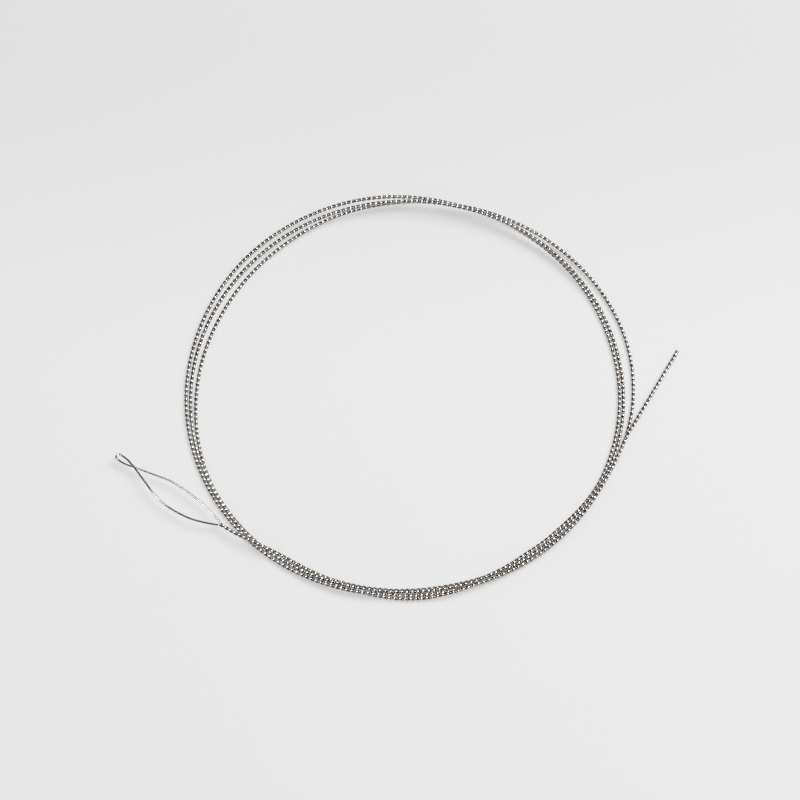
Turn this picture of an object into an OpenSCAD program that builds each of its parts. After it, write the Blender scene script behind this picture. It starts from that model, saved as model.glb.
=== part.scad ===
// Threading wire: one spring steel wire bent double. The bend is a narrow eyelet, the wire crosses
// itself at a neck and opens into a threading loop, and from the loop's root its two halves are
// twisted together and coiled up. The free end is cut square.

/* [Wire] */
// Thickness of the single spring steel wire
wire_d = 0.6; // [0.4:0.05:0.9]
// Length of the pair in which its two wires turn once round each other
lay = 3.2; // [2.4:0.1:5]

/* [Coil] */
// Radius of the circle that the turns of the coil follow
coil_r = 65.4; // [50:0.1:100]

/* [Free end] */
// Straight length of the free end, from the coil to the cut
end_len = 28.4; // [12:0.1:60]

/* [Threading loop] */
// Length of the loop from the first twist to the neck
loop_len = 32.2; // [24:0.1:50]
// Distance that the outer leg bows out from the loop's centre line
outer_bow = 4.45; // [3:0.05:7]
// Distance that the inner leg bows out from the loop's centre line
inner_bow = 2.85; // [1.5:0.05:5]

/* [Eyelet] */
// Length of the eyelet from the neck to the middle of the wire at its tip
eye_len = 6.4; // [4:0.1:12]
// Width of the eyelet between the middles of its two wires
eye_w = 1.7; // [1.4:0.1:4]

/* [Hidden] */

// The pair is two wires wide. Where its twist isn't drawn out, it is a plain round rod.
pair_w = 2 * wire_d;
rod_d = 0.86 * pair_w;

// Lays drawn out at the root, rings in a lay, rings' worth of length in which the drawn pair blends
// into the plain rod, and degrees from ring to ring of that rod
root_lays = 7;
lay_rings = 8;
blend_rings = 3;
rod_step = 5;
// Length over which the legs rise or sink to cross at the neck, and their gap there in thicknesses
cross_len = 12;
cross_gap = 0.2;
// Ring spacing along the legs and the eyelet's sides, and degrees round its tip
loop_step = 1.2;
eye_step = 0.5;
tip_step = 15;

// Route of the coiled pair, in three full turns and a part. Each row is an angle that is counted on
// from turn to turn, the distance outside the coil's circle, and the height of the pair's middle
// over the floor, both in pair widths. A turn that lies on the floor has its middle at half a width.
turn_1 = [
    [218.3, 4.05, 2.4], [222, 2.9, 2.6], [226, 1.6, 2.75], [230, 0.5, 2.7], [235, -0.6, 1.95],
    [240, -1.1, 0.95], [250, -1.25, 0.5], [265, -1.6, 0.5], [280, -1.9, 0.5], [300, -1.4, 0.5],
    [310, -1.15, 0.5], [315, -1, 0.75], [320, -0.8, 1.05], [325, -0.55, 1.25], [330, -0.25, 1.35],
    [335, 0, 1.35], [342, 0.25, 1], [350, 0.3, 0.8], [370, 0.25, 0.65], [385, 0.15, 1.1],
    [400, -0.3, 2.2], [420, -1.25, 3.8], [440, -2, 4.5], [450, -1.9, 4.15], [480, -1.05, 2.5],
    [510, -0.3, 1], [530, 0.1, 0.5], [545, 0.3, 0.55], [560, 0.6, 1.2]
];
turn_2 = [
    [575, 0.7, 1.4], [585, 0.6, 1.4], [600, 0, 1.6], [610, -0.5, 1.6], [620, -0.95, 1.5],
    [630, -1.15, 1.35], [645, -1.25, 1.4], [655, -1.5, 1.5], [665, -2.1, 1.05], [673, -2, 0.5],
    [695, -0.65, 0.5], [720, -0.7, 0.5], [735, -0.75, 0.5], [750, -0.5, 0.6], [760, -0.45, 1],
    [780, -0.9, 2.55], [795, -0.95, 3.25], [805, -0.6, 3.5], [820, 0.35, 3], [840, 1.1, 2.05],
    [860, 1.5, 1.25], [890, 1.35, 0.6], [915, 1.4, 0.5]
];
turn_3 = [
    [930, 1.35, 0.5], [945, 1.25, 0.5], [955, 1, 0.7], [965, 0.75, 1.2], [975, 0.4, 1.6],
    [985, -0.15, 1.6], [990, -0.25, 1.25], [995, -0.45, 0.8], [1001, -0.65, 0.5], [1030, -0.15, 0.5],
    [1050, 0.15, 0.5], [1058, 0.75, 0.5], [1070, 2.1, 0.5], [1080, 2.85, 0.5], [1095, 3.3, 0.5],
    [1110, 2.9, 0.7], [1125, 2, 1.1], [1145, 0.35, 2], [1165, -1, 2.3], [1185, -1.6, 1.8],
    [1215, -2.3, 0.75], [1230, -2.3, 0.5], [1255, -1.5, 0.5], [1275, -0.4, 0.5], [1290, 0.3, 0.5]
];
turn_4 = [
    [1305, 0.25, 0.5], [1330, -0.2, 0.5], [1340, 0, 0.5], [1350, 0.45, 0.6], [1355, 0.5, 0.9],
    [1360, 0.25, 1.4], [1370, -0.35, 1.6], [1380, -0.3, 1.6], [1395, 0.1, 1.65], [1405, 0.25, 1.9],
    [1412, 0.4, 2.1], [1419, 0.9, 1.9], [1425, 1.6, 1.6], [1428, 2.2, 1.5], [1431, 3.35, 1.4]
];
route = concat(turn_1, turn_2, turn_3, turn_4);
end_level = 0.5;

// Outlines of the legs, and of one side of the eyelet up to the half circle at its tip: share of the
// length, share of the bow
inner_leg = [[0, 0], [0.14, 0.46], [0.33, 0.87], [0.56, 1], [0.64, 0.94], [0.76, 0.64], [0.9, 0.26],
             [1, 0]];
outer_leg = [[0, 0], [0.14, 0.48], [0.28, 0.82], [0.42, 0.97], [0.5, 1], [0.6, 0.93], [0.7, 0.76],
             [0.8, 0.5], [0.9, 0.25], [1, 0]];
eye_side = [[0, 0], [0.15, 0.2], [0.35, 0.6], [0.6, 0.92], [0.8, 1], [1, 1]];

// Smooth curve through rows whose first column rises: the slope at a row is the harmonic mean of
// the slopes to its neighbours, or level where the curve turns, so that nothing overshoots
function chord_slope(rows, i, c) = (rows[i + 1][c] - rows[i][c]) / (rows[i + 1][0] - rows[i][0]);
function mean_slope(u, v) = u * v <= 0 ? 0 : 2 * u * v / (u + v);
function row_slope(rows, i, c) =
    i == 0 ? chord_slope(rows, 0, c)
    : i == len(rows) - 1 ? chord_slope(rows, i - 1, c)
    : mean_slope(chord_slope(rows, i - 1, c), chord_slope(rows, i, c));
function last_below(rows, x) = max([0, for (i = [0 : len(rows) - 2]) if (rows[i][0] <= x) i]);
function between(a, b, slope_a, slope_b, h, t) =
    (2 * t ^ 3 - 3 * t ^ 2 + 1) * a + (t ^ 3 - 2 * t ^ 2 + t) * h * slope_a
    + (3 * t ^ 2 - 2 * t ^ 3) * b + (t ^ 3 - t ^ 2) * h * slope_b;
function on_curve(rows, x, c, i) =
    let (h = rows[i + 1][0] - rows[i][0])
    between(rows[i][c], rows[i + 1][c], row_slope(rows, i, c), row_slope(rows, i + 1, c), h,
            (x - rows[i][0]) / h);
function curve_at(rows, x, c) = on_curve(rows, x, c, last_below(rows, x));

function unit(v) = v / norm(v);
function step_to(points, i) = i > 0 && i < len(points) ? norm(points[i] - points[i - 1]) : 0;
function lengths(points) =
    [for (i = 0, s = 0; i < len(points); i = i + 1, s = s + step_to(points, i)) s];
function heading(points, i) =
    unit(points[min(i + 1, len(points) - 1)] - points[max(i - 1, 0)]);

// Middle of the pair at an angle of the route
function on_route(a) =
    let (r = coil_r + pair_w * curve_at(route, a, 1))
    [r * cos(a), r * sin(a), pair_w * curve_at(route, a, 2)];

// Angles of the rings: close together along the drawn twist at the root, then one at every step
first_a = route[0][0];
last_a = route[len(route) - 1][0];
root_da = lay / lay_rings / coil_r * 180 / PI;
root_to = first_a + root_lays * lay_rings * root_da;
root_angles = [for (k = [0 : root_lays * lay_rings]) first_a + k * root_da];
rod_from = root_to + blend_rings * root_da;
rod_next = rod_step * ceil(rod_from / rod_step + 0.2);
rod_angles = [rod_from, for (a = [rod_next : rod_step : last_a - 1]) a];
coil_points = [for (a = concat(root_angles, rod_angles)) on_route(a)];

// Free end: straight on from the coil, and down to the floor
end_from = on_route(last_a);
end_on = end_from - on_route(last_a - 0.5);
end_dir = unit([end_on.x, end_on.y, 0]);
end_rings = ceil(end_len / lay * lay_rings);
function end_drop(t) = (end_from.z - end_level * pair_w) * (3 * t ^ 2 - 2 * t ^ 3);
end_points = [for (k = [0 : end_rings]) let (t = k / end_rings)
    end_from + end_len * t * end_dir - [0, 0, end_drop(t)]];
run_points = concat(coil_points, end_points);
run_s = lengths(run_points);

// The twist is left-handed. It is drawn at the root and along the free end, and stands still between.
rod_first = len(root_angles);
rod_last = len(coil_points) - 1;
function twisted(i) = i < rod_first || i > rod_last;
function drawn_s(i) = run_s[min(i, rod_first - 1)] + run_s[max(i, rod_last + 1)] - run_s[rod_last + 1];
function twist_at(i) = -360 * drawn_s(i) / lay;

// Section of the pair, as two six-sided wires that share one edge, and the round section of the
// plain rod with as many corners. The factors keep the areas of the true circles.
six_r = wire_d / 2 * sqrt(PI / (3 * sin(60)));
six_in = six_r * cos(30);
rod_r = rod_d / 2 * sqrt(PI / (5 * sin(36)));
half_pair = [[0, -six_r / 2], [six_in, -six_r], [2 * six_in, -six_r / 2], [2 * six_in, six_r / 2],
             [six_in, six_r], [0, six_r / 2]];
pair_section = concat(half_pair, [for (k = [4 : -1 : 1]) [-half_pair[k].x, half_pair[k].y]]);
rod_section = [for (k = [0 : 9]) rod_r * [sin(36 * k), -cos(36 * k)]];

// Ring of section points round a point of a path: first axis level and square to the path
function ring(points, i, section, turn) =
    let (t = heading(points, i), side = unit(cross([0, 0, 1], t)), up = cross(t, side))
    [for (q = section) points[i] + side * (q.x * cos(turn) - q.y * sin(turn))
        + up * (q.x * sin(turn) + q.y * cos(turn))];
run_rings = [for (i = [0 : len(run_points) - 1])
    ring(run_points, i, twisted(i) ? pair_section : rod_section, twist_at(i))];

// Loop and eyelet: one wire from the inner leg's root, round the eyelet's tip and back along the
// outer leg. Distances along the loop's centre line from the root, and out towards the outer leg.
root_on = heading(run_points, 0);
loop_on = -unit([root_on.x, root_on.y, 0]);
loop_out = [-loop_on.y, loop_on.x, 0];
leg_rings = ceil(loop_len / loop_step);
eye_r = eye_w / 2;
eye_side_len = eye_len - eye_r;
eye_rings = ceil(eye_side_len / eye_step);
function leg_at(leg, bow, x) = six_in + (bow - six_in) * curve_at(leg, x, 1) - six_in * x ^ 4;
// The wire that comes back over the neck lies on the one that went out
function lift(x) = (1 + cross_gap) * wire_d / 2 * (1 + cos(180 * min(1, x))) / 2;
function on_leg(leg, bow, x, way) =
    [loop_len * x, way * leg_at(leg, bow, x), way * lift(loop_len * (1 - x) / cross_len)];
function on_eye(x, y, way) = [loop_len + x, -way * y, way * lift(x / eye_len)];
leg_in = [for (k = [1 : leg_rings]) on_leg(inner_leg, inner_bow, k / leg_rings, -1)];
eye_out = [for (k = [1 : eye_rings]) let (x = k / eye_rings)
    on_eye(eye_side_len * x, eye_r * curve_at(eye_side, x, 1), -1)];
eye_tip = [for (a = [tip_step : tip_step : 180 - tip_step])
    on_eye(eye_side_len + eye_r * sin(a), eye_r * abs(cos(a)), a <= 90 ? -1 : 1)];
eye_back = [for (k = [eye_rings : -1 : 0]) let (x = k / eye_rings)
    on_eye(eye_side_len * x, eye_r * curve_at(eye_side, x, 1), 1)];
leg_back = [for (k = [leg_rings - 1 : -1 : 1]) on_leg(outer_leg, outer_bow, k / leg_rings, 1)];
loop_local = concat([[0, -six_in, 0]], leg_in, eye_out, eye_tip, eye_back, leg_back, [[0, six_in, 0]]);
loop_points = [for (q = loop_local) run_points[0] + loop_on * q.x + loop_out * q.y + [0, 0, q.z]];
wire_section = [for (q = half_pair) [six_in - q.x, q.y]];
loop_rings = [for (i = [1 : len(loop_points) - 2]) ring(loop_points, i, wire_section, 0)];

// Corners of the whole wire, and the faces between neighbouring rings
corners = concat([for (r = run_rings) each r], [for (r = loop_rings) each r]);
run_n = len(run_rings);
loop_n = len(loop_rings);
pair_n = len(pair_section);
wire_n = len(half_pair);
loop_from = run_n * pair_n;
inner_root = [0, 1, 2, 3, 4, 5];
outer_root = [0, 9, 8, 7, 6, 5];
function run_ring(i) = [for (k = [0 : pair_n - 1]) pair_n * i + k];
function loop_ring(i) =
    i < 0 ? inner_root : i >= loop_n ? outer_root : [for (k = [0 : wire_n - 1]) loop_from + wire_n * i + k];
function band(a, b) =
    [for (k = [0 : len(a) - 1]) let (n = (k + 1) % len(a)) each [[b[k], b[n], a[k]], [b[n], a[n], a[k]]]];
end_ring = run_ring(run_n - 1);
cut_ends = [[for (k = [5 : -1 : 0]) end_ring[k]], [for (k = [9, 8, 7, 6, 5, 0]) end_ring[k]]];
faces = concat(
    [for (i = [0 : run_n - 2]) each band(run_ring(i), run_ring(i + 1))],
    [for (i = [-1 : loop_n - 1]) each band(loop_ring(i + 1), loop_ring(i))],
    cut_ends
);

// The part's origin is under the middle of its outline
xs = [for (p = corners) p.x];
ys = [for (p = corners) p.y];
middle = [(min(xs) + max(xs)) / 2, (min(ys) + max(ys)) / 2, 0];

module wire() {
    color([0.72, 0.72, 0.7])
        translate(-middle)
            polyhedron(points = corners, faces = faces, convexity = 10);
}

wire();
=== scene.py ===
import bisect
import math

import bmesh
import bpy
import numpy as np
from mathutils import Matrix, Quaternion, Vector


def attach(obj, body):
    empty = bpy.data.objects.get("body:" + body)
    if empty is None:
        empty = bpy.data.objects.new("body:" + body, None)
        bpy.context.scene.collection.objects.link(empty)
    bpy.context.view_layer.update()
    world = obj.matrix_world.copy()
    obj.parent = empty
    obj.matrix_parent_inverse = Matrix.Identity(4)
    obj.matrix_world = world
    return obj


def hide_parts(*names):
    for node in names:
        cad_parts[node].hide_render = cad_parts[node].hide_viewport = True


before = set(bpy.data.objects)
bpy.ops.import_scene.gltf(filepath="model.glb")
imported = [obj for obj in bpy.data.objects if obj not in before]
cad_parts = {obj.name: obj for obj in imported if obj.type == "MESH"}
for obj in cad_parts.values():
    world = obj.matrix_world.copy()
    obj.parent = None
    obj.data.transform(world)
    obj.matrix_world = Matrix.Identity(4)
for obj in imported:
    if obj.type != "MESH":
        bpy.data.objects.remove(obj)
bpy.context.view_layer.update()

# Camera. It looks down on the coil from 67 degrees over the table and from far away, so the coil is
# almost round. It aims at a point a little to the left of the coil's centre and nearer to the front.
# The twisted pair's width, in metres, is the measure of the whole.
pair_w = 0.0012
coil_at = Vector((0.001893, 0.000365, 0))
aim = coil_at - Vector((1.7 * pair_w, 1.9 * pair_w, 0))
camera_rise = math.radians(67)
camera_reach = 600 * pair_w
sensor_w = 36
# The lens's focal length in widths of the picture
long_lens = 2370 / 800
eye = bpy.data.cameras.new("camera")
eye.sensor_width = sensor_w
eye.lens = sensor_w * long_lens
camera = bpy.data.objects.new("camera", eye)
bpy.context.collection.objects.link(camera)
away = Vector((0, -math.cos(camera_rise), math.sin(camera_rise)))
camera.location = aim + camera_reach * away
camera.rotation_euler = away.to_track_quat("Z", "Y").to_euler()
bpy.context.scene.camera = camera

# The twisted pair. Two bright drawn spring steel wires, which are the two halves of one wire bent
# double, are turned round each other to the left along their whole length. The pair is sprung into
# a coil of three turns and a part, and its free end is cut off square.
wire_d = pair_w / 2
lay = 0.0032
coil_r = 0.0654
end_len = 0.0284
# The height of the pair's middle at the cut, in pair widths
end_level = 0.5
rings_per_lay = 14
angle_step = 0.25
end_steps = 100
# Angle in degrees, counted on from turn to turn, distance outside the coil's circle, and height of
# the pair's middle over the table, the last two in pair widths
route = [
    (218.3, 4.05, 2.4), (222, 2.9, 2.6), (226, 1.6, 2.75), (230, 0.5, 2.7), (235, -0.6, 1.95),
    (240, -1.1, 0.95), (250, -1.25, 0.5), (265, -1.6, 0.5), (280, -1.9, 0.5), (300, -1.4, 0.5),
    (310, -1.15, 0.5), (315, -1, 0.75), (320, -0.8, 1.05), (325, -0.55, 1.25), (330, -0.25, 1.35),
    (335, 0, 1.35), (342, 0.25, 1), (350, 0.3, 0.8), (370, 0.25, 0.65), (385, 0.15, 1.1),
    (400, -0.3, 2.2), (420, -1.25, 3.8), (440, -2, 4.5), (450, -1.9, 4.15), (480, -1.05, 2.5),
    (510, -0.3, 1), (530, 0.1, 0.5), (545, 0.3, 0.55), (560, 0.6, 1.2),
    (575, 0.7, 1.4), (585, 0.6, 1.4), (600, 0, 1.6), (610, -0.5, 1.6), (620, -0.95, 1.5),
    (630, -1.15, 1.35), (645, -1.25, 1.4), (655, -1.5, 1.5), (665, -2.1, 1.05), (673, -2, 0.5),
    (695, -0.65, 0.5), (720, -0.7, 0.5), (735, -0.75, 0.5), (750, -0.5, 0.6), (760, -0.45, 1),
    (780, -0.9, 2.55), (795, -0.95, 3.25), (805, -0.6, 3.5), (820, 0.35, 3), (840, 1.1, 2.05),
    (860, 1.5, 1.25), (890, 1.35, 0.6), (915, 1.4, 0.5),
    (930, 1.35, 0.5), (945, 1.25, 0.5), (955, 1, 0.7), (965, 0.75, 1.2), (975, 0.4, 1.6),
    (985, -0.15, 1.6), (990, -0.25, 1.25), (995, -0.45, 0.8), (1001, -0.65, 0.5), (1030, -0.15, 0.5),
    (1050, 0.15, 0.5), (1058, 0.75, 0.5), (1070, 2.1, 0.5), (1080, 2.85, 0.5), (1095, 3.3, 0.5),
    (1110, 2.9, 0.7), (1125, 2, 1.1), (1145, 0.35, 2), (1165, -1, 2.3), (1185, -1.6, 1.8),
    (1215, -2.3, 0.75), (1230, -2.3, 0.5), (1255, -1.5, 0.5), (1275, -0.4, 0.5), (1290, 0.3, 0.5),
    (1305, 0.25, 0.5), (1330, -0.2, 0.5), (1340, 0, 0.5), (1350, 0.45, 0.6), (1355, 0.5, 0.9),
    (1360, 0.25, 1.4), (1370, -0.35, 1.6), (1380, -0.3, 1.6), (1395, 0.1, 1.65), (1405, 0.25, 1.9),
    (1412, 0.4, 2.1), (1419, 0.9, 1.9), (1425, 1.6, 1.6), (1428, 2.2, 1.5), (1431, 3.35, 1.4),
]


def row_slopes(rows, column):
    """Slope at each row: the harmonic mean of its neighbours' slopes, or level where the curve turns."""
    chords = [(b[column] - a[column]) / (b[0] - a[0]) for a, b in zip(rows, rows[1:])]
    inner = [2 * u * v / (u + v) if u * v > 0 else 0 for u, v in zip(chords, chords[1:])]
    return [chords[0]] + inner + [chords[-1]]


def smooth_curve(rows, column):
    """A function that runs smoothly through the rows and never overshoots them."""
    places = [row[0] for row in rows]
    slopes = row_slopes(rows, column)

    def at(x):
        i = min(max(bisect.bisect_right(places, x) - 1, 0), len(rows) - 2)
        h = places[i + 1] - places[i]
        t = (x - places[i]) / h
        start = (2 * t**3 - 3 * t**2 + 1) * rows[i][column] + (t**3 - 2 * t**2 + t) * h * slopes[i]
        return start + (3 * t**2 - 2 * t**3) * rows[i + 1][column] + (t**3 - t**2) * h * slopes[i + 1]

    return at


outward = smooth_curve(route, 1)
height = smooth_curve(route, 2)


def on_route(angle):
    """Middle of the pair at an angle round the coil."""
    a = math.radians(angle)
    r = coil_r + pair_w * outward(angle)
    return coil_at + Vector((r * math.cos(a), r * math.sin(a), pair_w * height(angle)))


def coil_middle():
    """Middle of the pair from the root of the loop, round the coil, to the cut, in even steps."""
    first, last = route[0][0], route[-1][0]
    line = [on_route(first + angle_step * k) for k in range(round((last - first) / angle_step) + 1)]
    leave = ((line[-1] - line[-2]) * Vector((1, 1, 0))).normalized()
    start = line[-1].copy()
    fall = start.z - end_level * pair_w
    for t in np.linspace(0, 1, end_steps + 1)[1:]:
        line.append(start + leave * end_len * t - Vector((0, 0, fall * (3 * t**2 - 2 * t**3))))
    line = np.array(line)
    reached = np.concatenate([[0], np.cumsum(np.linalg.norm(np.diff(line, axis=0), axis=1))])
    even = np.linspace(0, reached[-1], round(reached[-1] / lay * rings_per_lay) + 1)
    spaced = np.stack([np.interp(even, reached, line[:, k]) for k in range(3)], axis=1)
    return [Vector(p) for p in spaced]


def cross_axes(points, i):
    """Level axis to the left of the path at a point, and the axis square to it and to the path."""
    on = (points[min(i + 1, len(points) - 1)] - points[max(i - 1, 0)]).normalized()
    left = Vector((0, 0, 1)).cross(on).normalized()
    return left, on.cross(left)


def drawn_wire(name, lines, sides):
    """Round wire drawn along one or more lines of points, as one closed mesh."""
    curve = bpy.data.curves.new(name + "_line", "CURVE")
    curve.dimensions = "3D"
    curve.bevel_depth = wire_d / 2
    # A round bevel has four sides, and two more for each step of its resolution
    curve.bevel_resolution = (sides - 4) // 2
    curve.use_fill_caps = True
    for line in lines:
        spline = curve.splines.new("POLY")
        spline.points.add(len(line) - 1)
        spline.points.foreach_set("co", [c for p in line for c in (*p, 1)])
        spline.use_smooth = True
    drawn = bpy.data.objects.new(name + "_line", curve)
    bpy.context.collection.objects.link(drawn)
    graph = bpy.context.evaluated_depsgraph_get()
    mesh = bpy.data.meshes.new_from_object(drawn.evaluated_get(graph))
    mesh.name = name
    bpy.data.objects.remove(drawn)
    piece = bpy.data.objects.new(name, mesh)
    bpy.context.collection.objects.link(piece)
    return piece


middle = coil_middle()
run = [0.0]
for here, there in zip(middle, middle[1:]):
    run.append(run[-1] + (there - here).length)
# The twist sets in over half a turn of the lay, so the wires part smoothly at the root
twist_in = 0.5 * lay


def twist(s):
    """Angle by which the wires have turned round each other at a distance from the root."""
    twisted_len = s - twist_in / 2 if s > twist_in else s * s / (2 * twist_in)
    return -2 * math.pi * twisted_len / lay


strands = [[], []]
for i, point in enumerate(middle):
    left, up = cross_axes(middle, i)
    turned = twist(run[i])
    arm = wire_d / 2 * (math.cos(turned) * left + math.sin(turned) * up)
    strands[0].append(point + arm)
    strands[1].append(point - arm)
strand_sides = 8
# Twisting rubs the wires dull, and the rubs fade out over the lays next to the loop
rub_in = 2 * lay
pair = drawn_wire("twisted_pair", strands, strand_sides)
root = middle[0]


def mark_wire(piece, lines, sides, partners=None):
    """Notes where each point of the skin lies along and round the wire, how far it faces the other
    wire, and how much it is rubbed."""
    rings = np.array(lines)
    n = rings.shape[1]
    # The mesh lists the points of the cut faces first, from the last wire to the first, and then
    # those of the rings in order
    ends = [np.repeat([k * n + n - 1, k * n], sides) for k in reversed(range(len(lines)))]
    owner = np.concatenate(ends + [np.repeat(np.arange(len(lines) * n), sides)])
    skin = np.empty(len(owner) * 3)
    piece.data.vertices.foreach_get("co", skin)
    radial = (skin.reshape(-1, 3) - rings.reshape(-1, 3)[owner]) / (wire_d / 2)
    heading = np.gradient(rings, axis=1)
    along = np.cumsum(np.linalg.norm(heading, axis=2), axis=1).reshape(-1)[owner] / wire_d
    level = np.cross((0, 0, 1), heading)
    over = np.cross(heading, level)
    level /= np.linalg.norm(level, axis=2, keepdims=True)
    over /= np.linalg.norm(over, axis=2, keepdims=True)
    drawn = np.stack([along, (radial * level.reshape(-1, 3)[owner]).sum(1),
                      (radial * over.reshape(-1, 3)[owner]).sum(1)], axis=1)
    piece.data.attributes.new("drawn", "FLOAT_VECTOR", "POINT").data.foreach_set("vector", drawn.ravel())
    if partners:
        towards = np.array(partners) - rings
        towards /= np.linalg.norm(towards, axis=2, keepdims=True)
        groove = (radial * towards.reshape(-1, 3)[owner]).sum(1)
        piece.data.attributes.new("groove", "FLOAT", "POINT").data.foreach_set("value", groove)
        rubbed = np.clip(along * wire_d / rub_in, 0, 1)
        piece.data.attributes.new("rubbed", "FLOAT", "POINT").data.foreach_set("value", rubbed)


def close_ends(piece):
    """Joins the cut faces to the wire and keeps their rims sharp."""
    same_place = wire_d / 1000
    shape = bmesh.new()
    shape.from_mesh(piece.data)
    bmesh.ops.remove_doubles(shape, verts=shape.verts, dist=same_place)
    for face in shape.faces:
        is_cut = len(face.verts) > 4
        if is_cut:
            face.smooth = False
            for edge in face.edges:
                edge.smooth = False
    bmesh.ops.recalc_face_normals(shape, faces=shape.faces)
    shape.to_mesh(piece.data)
    shape.free()


mark_wire(pair, strands, strand_sides, strands[::-1])
close_ends(pair)

# The threading loop and its eyelet. The same wire runs out of the twist as two legs, which bow
# apart with a soft corner each, cross at the neck and meet round the narrow eyelet at the tip.
# The legs were bent by hand round a former, so the loop is a little lopsided.
loop_len = 0.0322
inner_bow = 0.00285
outer_bow = 0.00445
eye_len = 0.0064
eye_r = 0.00085
eye_side_len = eye_len - eye_r
# The length of leg that rises or falls to the neck, and the gap there in wire thicknesses
cross_len = 0.026
cross_gap = 0.1
# Share of the way along a leg or a side of the eyelet, and share of its widest bow there
inner_leg = [(0, 0), (0.14, 0.46), (0.33, 0.87), (0.56, 1), (0.64, 0.94), (0.76, 0.64), (0.9, 0.26),
             (1, 0)]
outer_leg = [(0, 0), (0.14, 0.48), (0.28, 0.82), (0.42, 0.97), (0.5, 1), (0.6, 0.93), (0.7, 0.76),
             (0.8, 0.5), (0.9, 0.25), (1, 0)]
eye_side = [(0, 0), (0.15, 0.2), (0.35, 0.6), (0.6, 0.92), (0.8, 1), (1, 1)]
leg_points = 80
side_points = 20
tip_points = 24


def lift(x):
    """Half of the wires' distance, one over the other, at a share of the way from the neck."""
    return (1 + cross_gap) * wire_d / 2 * (1 + math.cos(math.pi * min(1, x))) / 2


def leg_line(rows, bow, way):
    """A leg from the root, where it lies beside the other, to the neck, where it crosses it."""
    bowed = smooth_curve(rows, 1)
    line = []
    for k in range(leg_points + 1):
        x = k / leg_points
        aside = wire_d / 2 + (bow - wire_d / 2) * bowed(x) - wire_d / 2 * x**4
        line.append((loop_len * x, way * aside, way * lift(loop_len * (1 - x) / cross_len)))
    return line


def eye_line(way):
    """A side of the eyelet, from the neck to where the tip's round bend begins."""
    widened = smooth_curve(eye_side, 1)
    line = []
    for k in range(1, side_points + 1):
        x = k / side_points
        level = way * lift(eye_side_len * x / eye_len)
        line.append((loop_len + eye_side_len * x, -way * eye_r * widened(x), level))
    return line


tip = []
for k in range(1, tip_points):
    a = math.pi * k / tip_points
    x = eye_side_len + eye_r * math.sin(a)
    tip.append((loop_len + x, eye_r * math.cos(a), math.copysign(lift(x / eye_len), -math.cos(a))))
# From the root along the inner leg, which is the lower one at the neck, round the eyelet, and back
# along the outer leg
flat = leg_line(inner_leg, inner_bow, -1) + eye_line(-1) + tip + eye_line(1)[::-1]
flat += leg_line(outer_leg, outer_bow, 1)[::-1]
loop_on = -((middle[1] - middle[0]) * Vector((1, 1, 0))).normalized()
loop_out = Vector((-loop_on.y, loop_on.x, 0))
loop_wire = [root + loop_on * x + loop_out * y + Vector((0, 0, z)) for x, y, z in flat]
loop_sides = 16
loop = drawn_wire("threading_loop", [loop_wire], loop_sides)
mark_wire(loop, [loop_wire], loop_sides)
close_ends(loop)

for piece in (pair, loop):
    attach(piece, "root")
    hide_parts("wire")


# Bright drawn spring steel. The die leaves fine lines along the wire, and the skin differs a little
# in tone from place to place. Twisting leaves it a little dull and brown with drawing grease. In the
# grooves between the two wires the colour is painted dark brown as painted shade, and the skin there is
# rougher.
class Flow:
    """A socket of a material's nodes that can be used in sums."""

    def __init__(self, nodes, socket):
        self.nodes = nodes
        self.socket = socket

    def maths(self, operation, *values):
        return self.nodes.put("ShaderNodeMath", {"operation": operation}, dict(enumerate(values)))

    def __add__(self, other):
        return self.maths("ADD", self, other)

    def __radd__(self, other):
        return self.maths("ADD", other, self)

    def __mul__(self, other):
        return self.maths("MULTIPLY", self, other)

    def __rmul__(self, other):
        return self.maths("MULTIPLY", other, self)


class Finish:
    """The nodes of a material or of the room, with one method, put, that adds any node."""

    def __init__(self, owner):
        owner.use_nodes = True
        self.owner = owner
        self.tree = owner.node_tree
        self.tree.nodes.clear()

    def put(self, kind, settings=None, values=None, out=0):
        node = self.tree.nodes.new(kind)
        for key, value in (settings or {}).items():
            setattr(node, key, value)
        for key, value in (values or {}).items():
            if isinstance(value, Flow):
                self.tree.links.new(value.socket, node.inputs[key])
            else:
                node.inputs[key].default_value = value
        return Flow(self, node.outputs[out]) if node.outputs else None

    def blend(self, share, first, second):
        """A colour between two others, the second of them at a share of 1."""
        return self.put("ShaderNodeMix", {"data_type": "RGBA"},
                        {"Factor": share, "A": first, "B": second}, out="Result")


def grey(level):
    return level, level, level, 1


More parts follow.
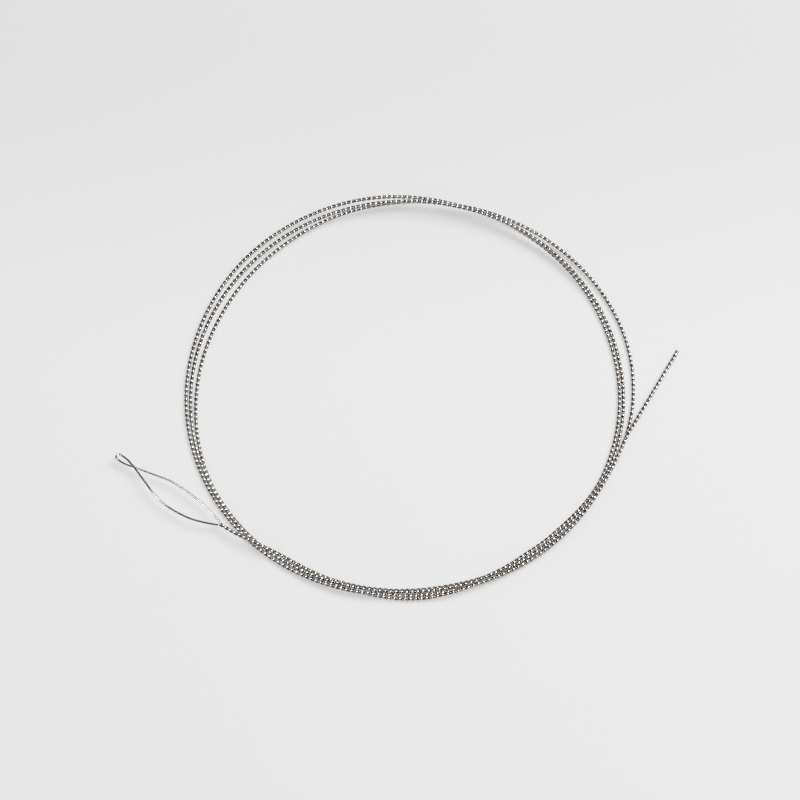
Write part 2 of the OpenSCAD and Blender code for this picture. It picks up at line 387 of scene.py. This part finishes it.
def spring_steel():
    dark_skin, light_skin = (0.78, 0.77, 0.76, 1), (0.86, 0.85, 0.84, 1)
    # The darker brown is painted shade, used in the grooves between the wires
    thin_grease, groove_shade_colour = (0.54, 0.47, 0.41, 1), (0.08, 0.05, 0.03, 1)
    grease_on_rubs, groove_shade_share = 0.35, 0.9
    line_depth = 0.00001
    steel = Finish(bpy.data.materials.new("spring_steel"))
    place = steel.put("ShaderNodeTexCoord", out="Object")
    drawn = steel.put("ShaderNodeAttribute", {"attribute_name": "drawn"}, out="Vector")
    groove = steel.put("ShaderNodeAttribute", {"attribute_name": "groove"}, out="Fac")
    rubbed = steel.put("ShaderNodeAttribute", {"attribute_name": "rubbed"}, out="Fac")
    patches = steel.put("ShaderNodeTexNoise", values={"Vector": place, "Scale": 60.0, "Detail": 3.0})
    stretched = steel.put("ShaderNodeMapping", values={"Vector": drawn, "Scale": (0.06, 1, 1)})
    die_lines = steel.put("ShaderNodeTexNoise",
                          values={"Vector": stretched, "Scale": 9.0, "Detail": 4.0})
    groove_shade = steel.put("ShaderNodeMapRange", {"interpolation_type": "SMOOTHSTEP"},
                     {"Value": groove, "From Min": 0.1, "From Max": 0.9})
    tone = steel.blend(patches, dark_skin, light_skin)
    greased = steel.blend(grease_on_rubs * rubbed, tone, thin_grease)
    # Painted shade: the colour darkens to dark brown where the skin faces the other wire, in the groove
    groove_shaded = steel.blend(groove_shade_share * groove_shade, greased, groove_shade_colour)
    relief = steel.put("ShaderNodeBump",
                       values={"Strength": 0.06, "Distance": line_depth, "Height": die_lines})
    # The bare skin's roughness, and what the die lines, the rubs and the painted groove shade's mask add
    # to it
    dullness = 0.05 + 0.06 * die_lines + 0.07 * rubbed + 0.2 * groove_shade
    surface = steel.put("ShaderNodeBsdfPrincipled", values={
        "Base Color": groove_shaded, "Metallic": 1.0, "Roughness": dullness, "Normal": relief})
    steel.put("ShaderNodeOutputMaterial", values={"Surface": surface})
    return steel.owner


bright_steel = spring_steel()
for piece in (pair, loop):
    piece.data.materials.append(bright_steel)

# The table: a plain pale board of mat card, which fills the camera's view and reaches far beyond it
# on every side. Its glow is painted darker behind the coil as painted shade, and it shines pale in the
# metal too.
table_side = 6.0
painted_shade_reach = 0.13
near_card, shaded_far_card = grey(0.445), (0.385, 0.385, 0.39, 1)
table_shape = bmesh.new()
bmesh.ops.create_grid(table_shape, x_segments=1, y_segments=1, size=table_side / 2)
table_mesh = bpy.data.meshes.new("table")
table_shape.to_mesh(table_mesh)
table_shape.free()
table = bpy.data.objects.new("table", table_mesh)
bpy.context.collection.objects.link(table)
board = Finish(bpy.data.materials.new("pale_board"))
on_board = board.put("ShaderNodeTexCoord", out="Object")
behind = board.put("ShaderNodeSeparateXYZ", values={0: on_board}, out="Y")
# Painted shade: the board's pale glow darkens towards the back, behind the coil
painted_dimming = board.put("ShaderNodeMapRange", {"interpolation_type": "SMOOTHSTEP"},
                   {"Value": behind, "From Min": 0.0, "From Max": painted_shade_reach})
card = board.blend(painted_dimming, near_card, shaded_far_card)
shown = (board.put("ShaderNodeLightPath", out="Is Camera Ray")
         + board.put("ShaderNodeLightPath", out="Is Glossy Ray"))
board_face = board.put("ShaderNodeBsdfPrincipled", values={
    "Base Color": grey(0.4), "Roughness": 0.9,
    "Emission Color": board.blend(shown, grey(0), card), "Emission Strength": 1.0})
board.put("ShaderNodeOutputMaterial", values={"Surface": board_face})
table_mesh.materials.append(board.owner)

# Light: a large soft lamp high behind on the right, two white cards that shine in the metal only, a
# narrow one high on the left and a round one over the camera, and a plain room.
lamp_reach = 1.6


def soft_lamp(name, around, high, length, width, glow, turn=0.0):
    """A lamp that faces the coil from an angle round it and an angle over the table."""
    lamp = bpy.data.lights.new(name, "AREA")
    lamp.shape = "ELLIPSE"
    lamp.size, lamp.size_y = length, width
    face_area = math.pi * length * width / 4
    lamp.energy = glow * math.pi * face_area
    holder = bpy.data.objects.new(name, lamp)
    bpy.context.collection.objects.link(holder)
    a, e = math.radians(around), math.radians(high)
    towards = Vector((math.cos(a) * math.cos(e), math.sin(a) * math.cos(e), math.sin(e)))
    holder.location = towards * lamp_reach
    facing = towards.to_track_quat("Z", "Y") @ Quaternion((0, 0, 1), math.radians(turn))
    holder.rotation_euler = facing.to_euler()
    return holder


right_lamp = soft_lamp("right_lamp", around=34, high=57, length=1.2, width=1.2, glow=5)
right_lamp.visible_glossy = False
left_card = soft_lamp("left_card", around=175, high=66, length=1.1, width=0.13, glow=5, turn=-46)
left_card.visible_diffuse = False
front_card = soft_lamp("front_card", around=300, high=76, length=0.9, width=0.9, glow=12)
front_card.visible_diffuse = False
room = Finish(bpy.data.worlds.new("room"))
in_metal = room.put("ShaderNodeLightPath", out="Is Glossy Ray")
in_view = room.put("ShaderNodeLightPath", out="Is Camera Ray")
wall = room.blend(in_view, room.blend(in_metal, grey(0.4), grey(0.05)), grey(0.8))
glowing = room.put("ShaderNodeBackground", values={"Color": wall, "Strength": 1.0})
room.put("ShaderNodeOutputWorld", values={"Surface": glowing})
bpy.context.scene.world = room.owner
bpy.context.scene.view_settings.view_transform = "Standard"
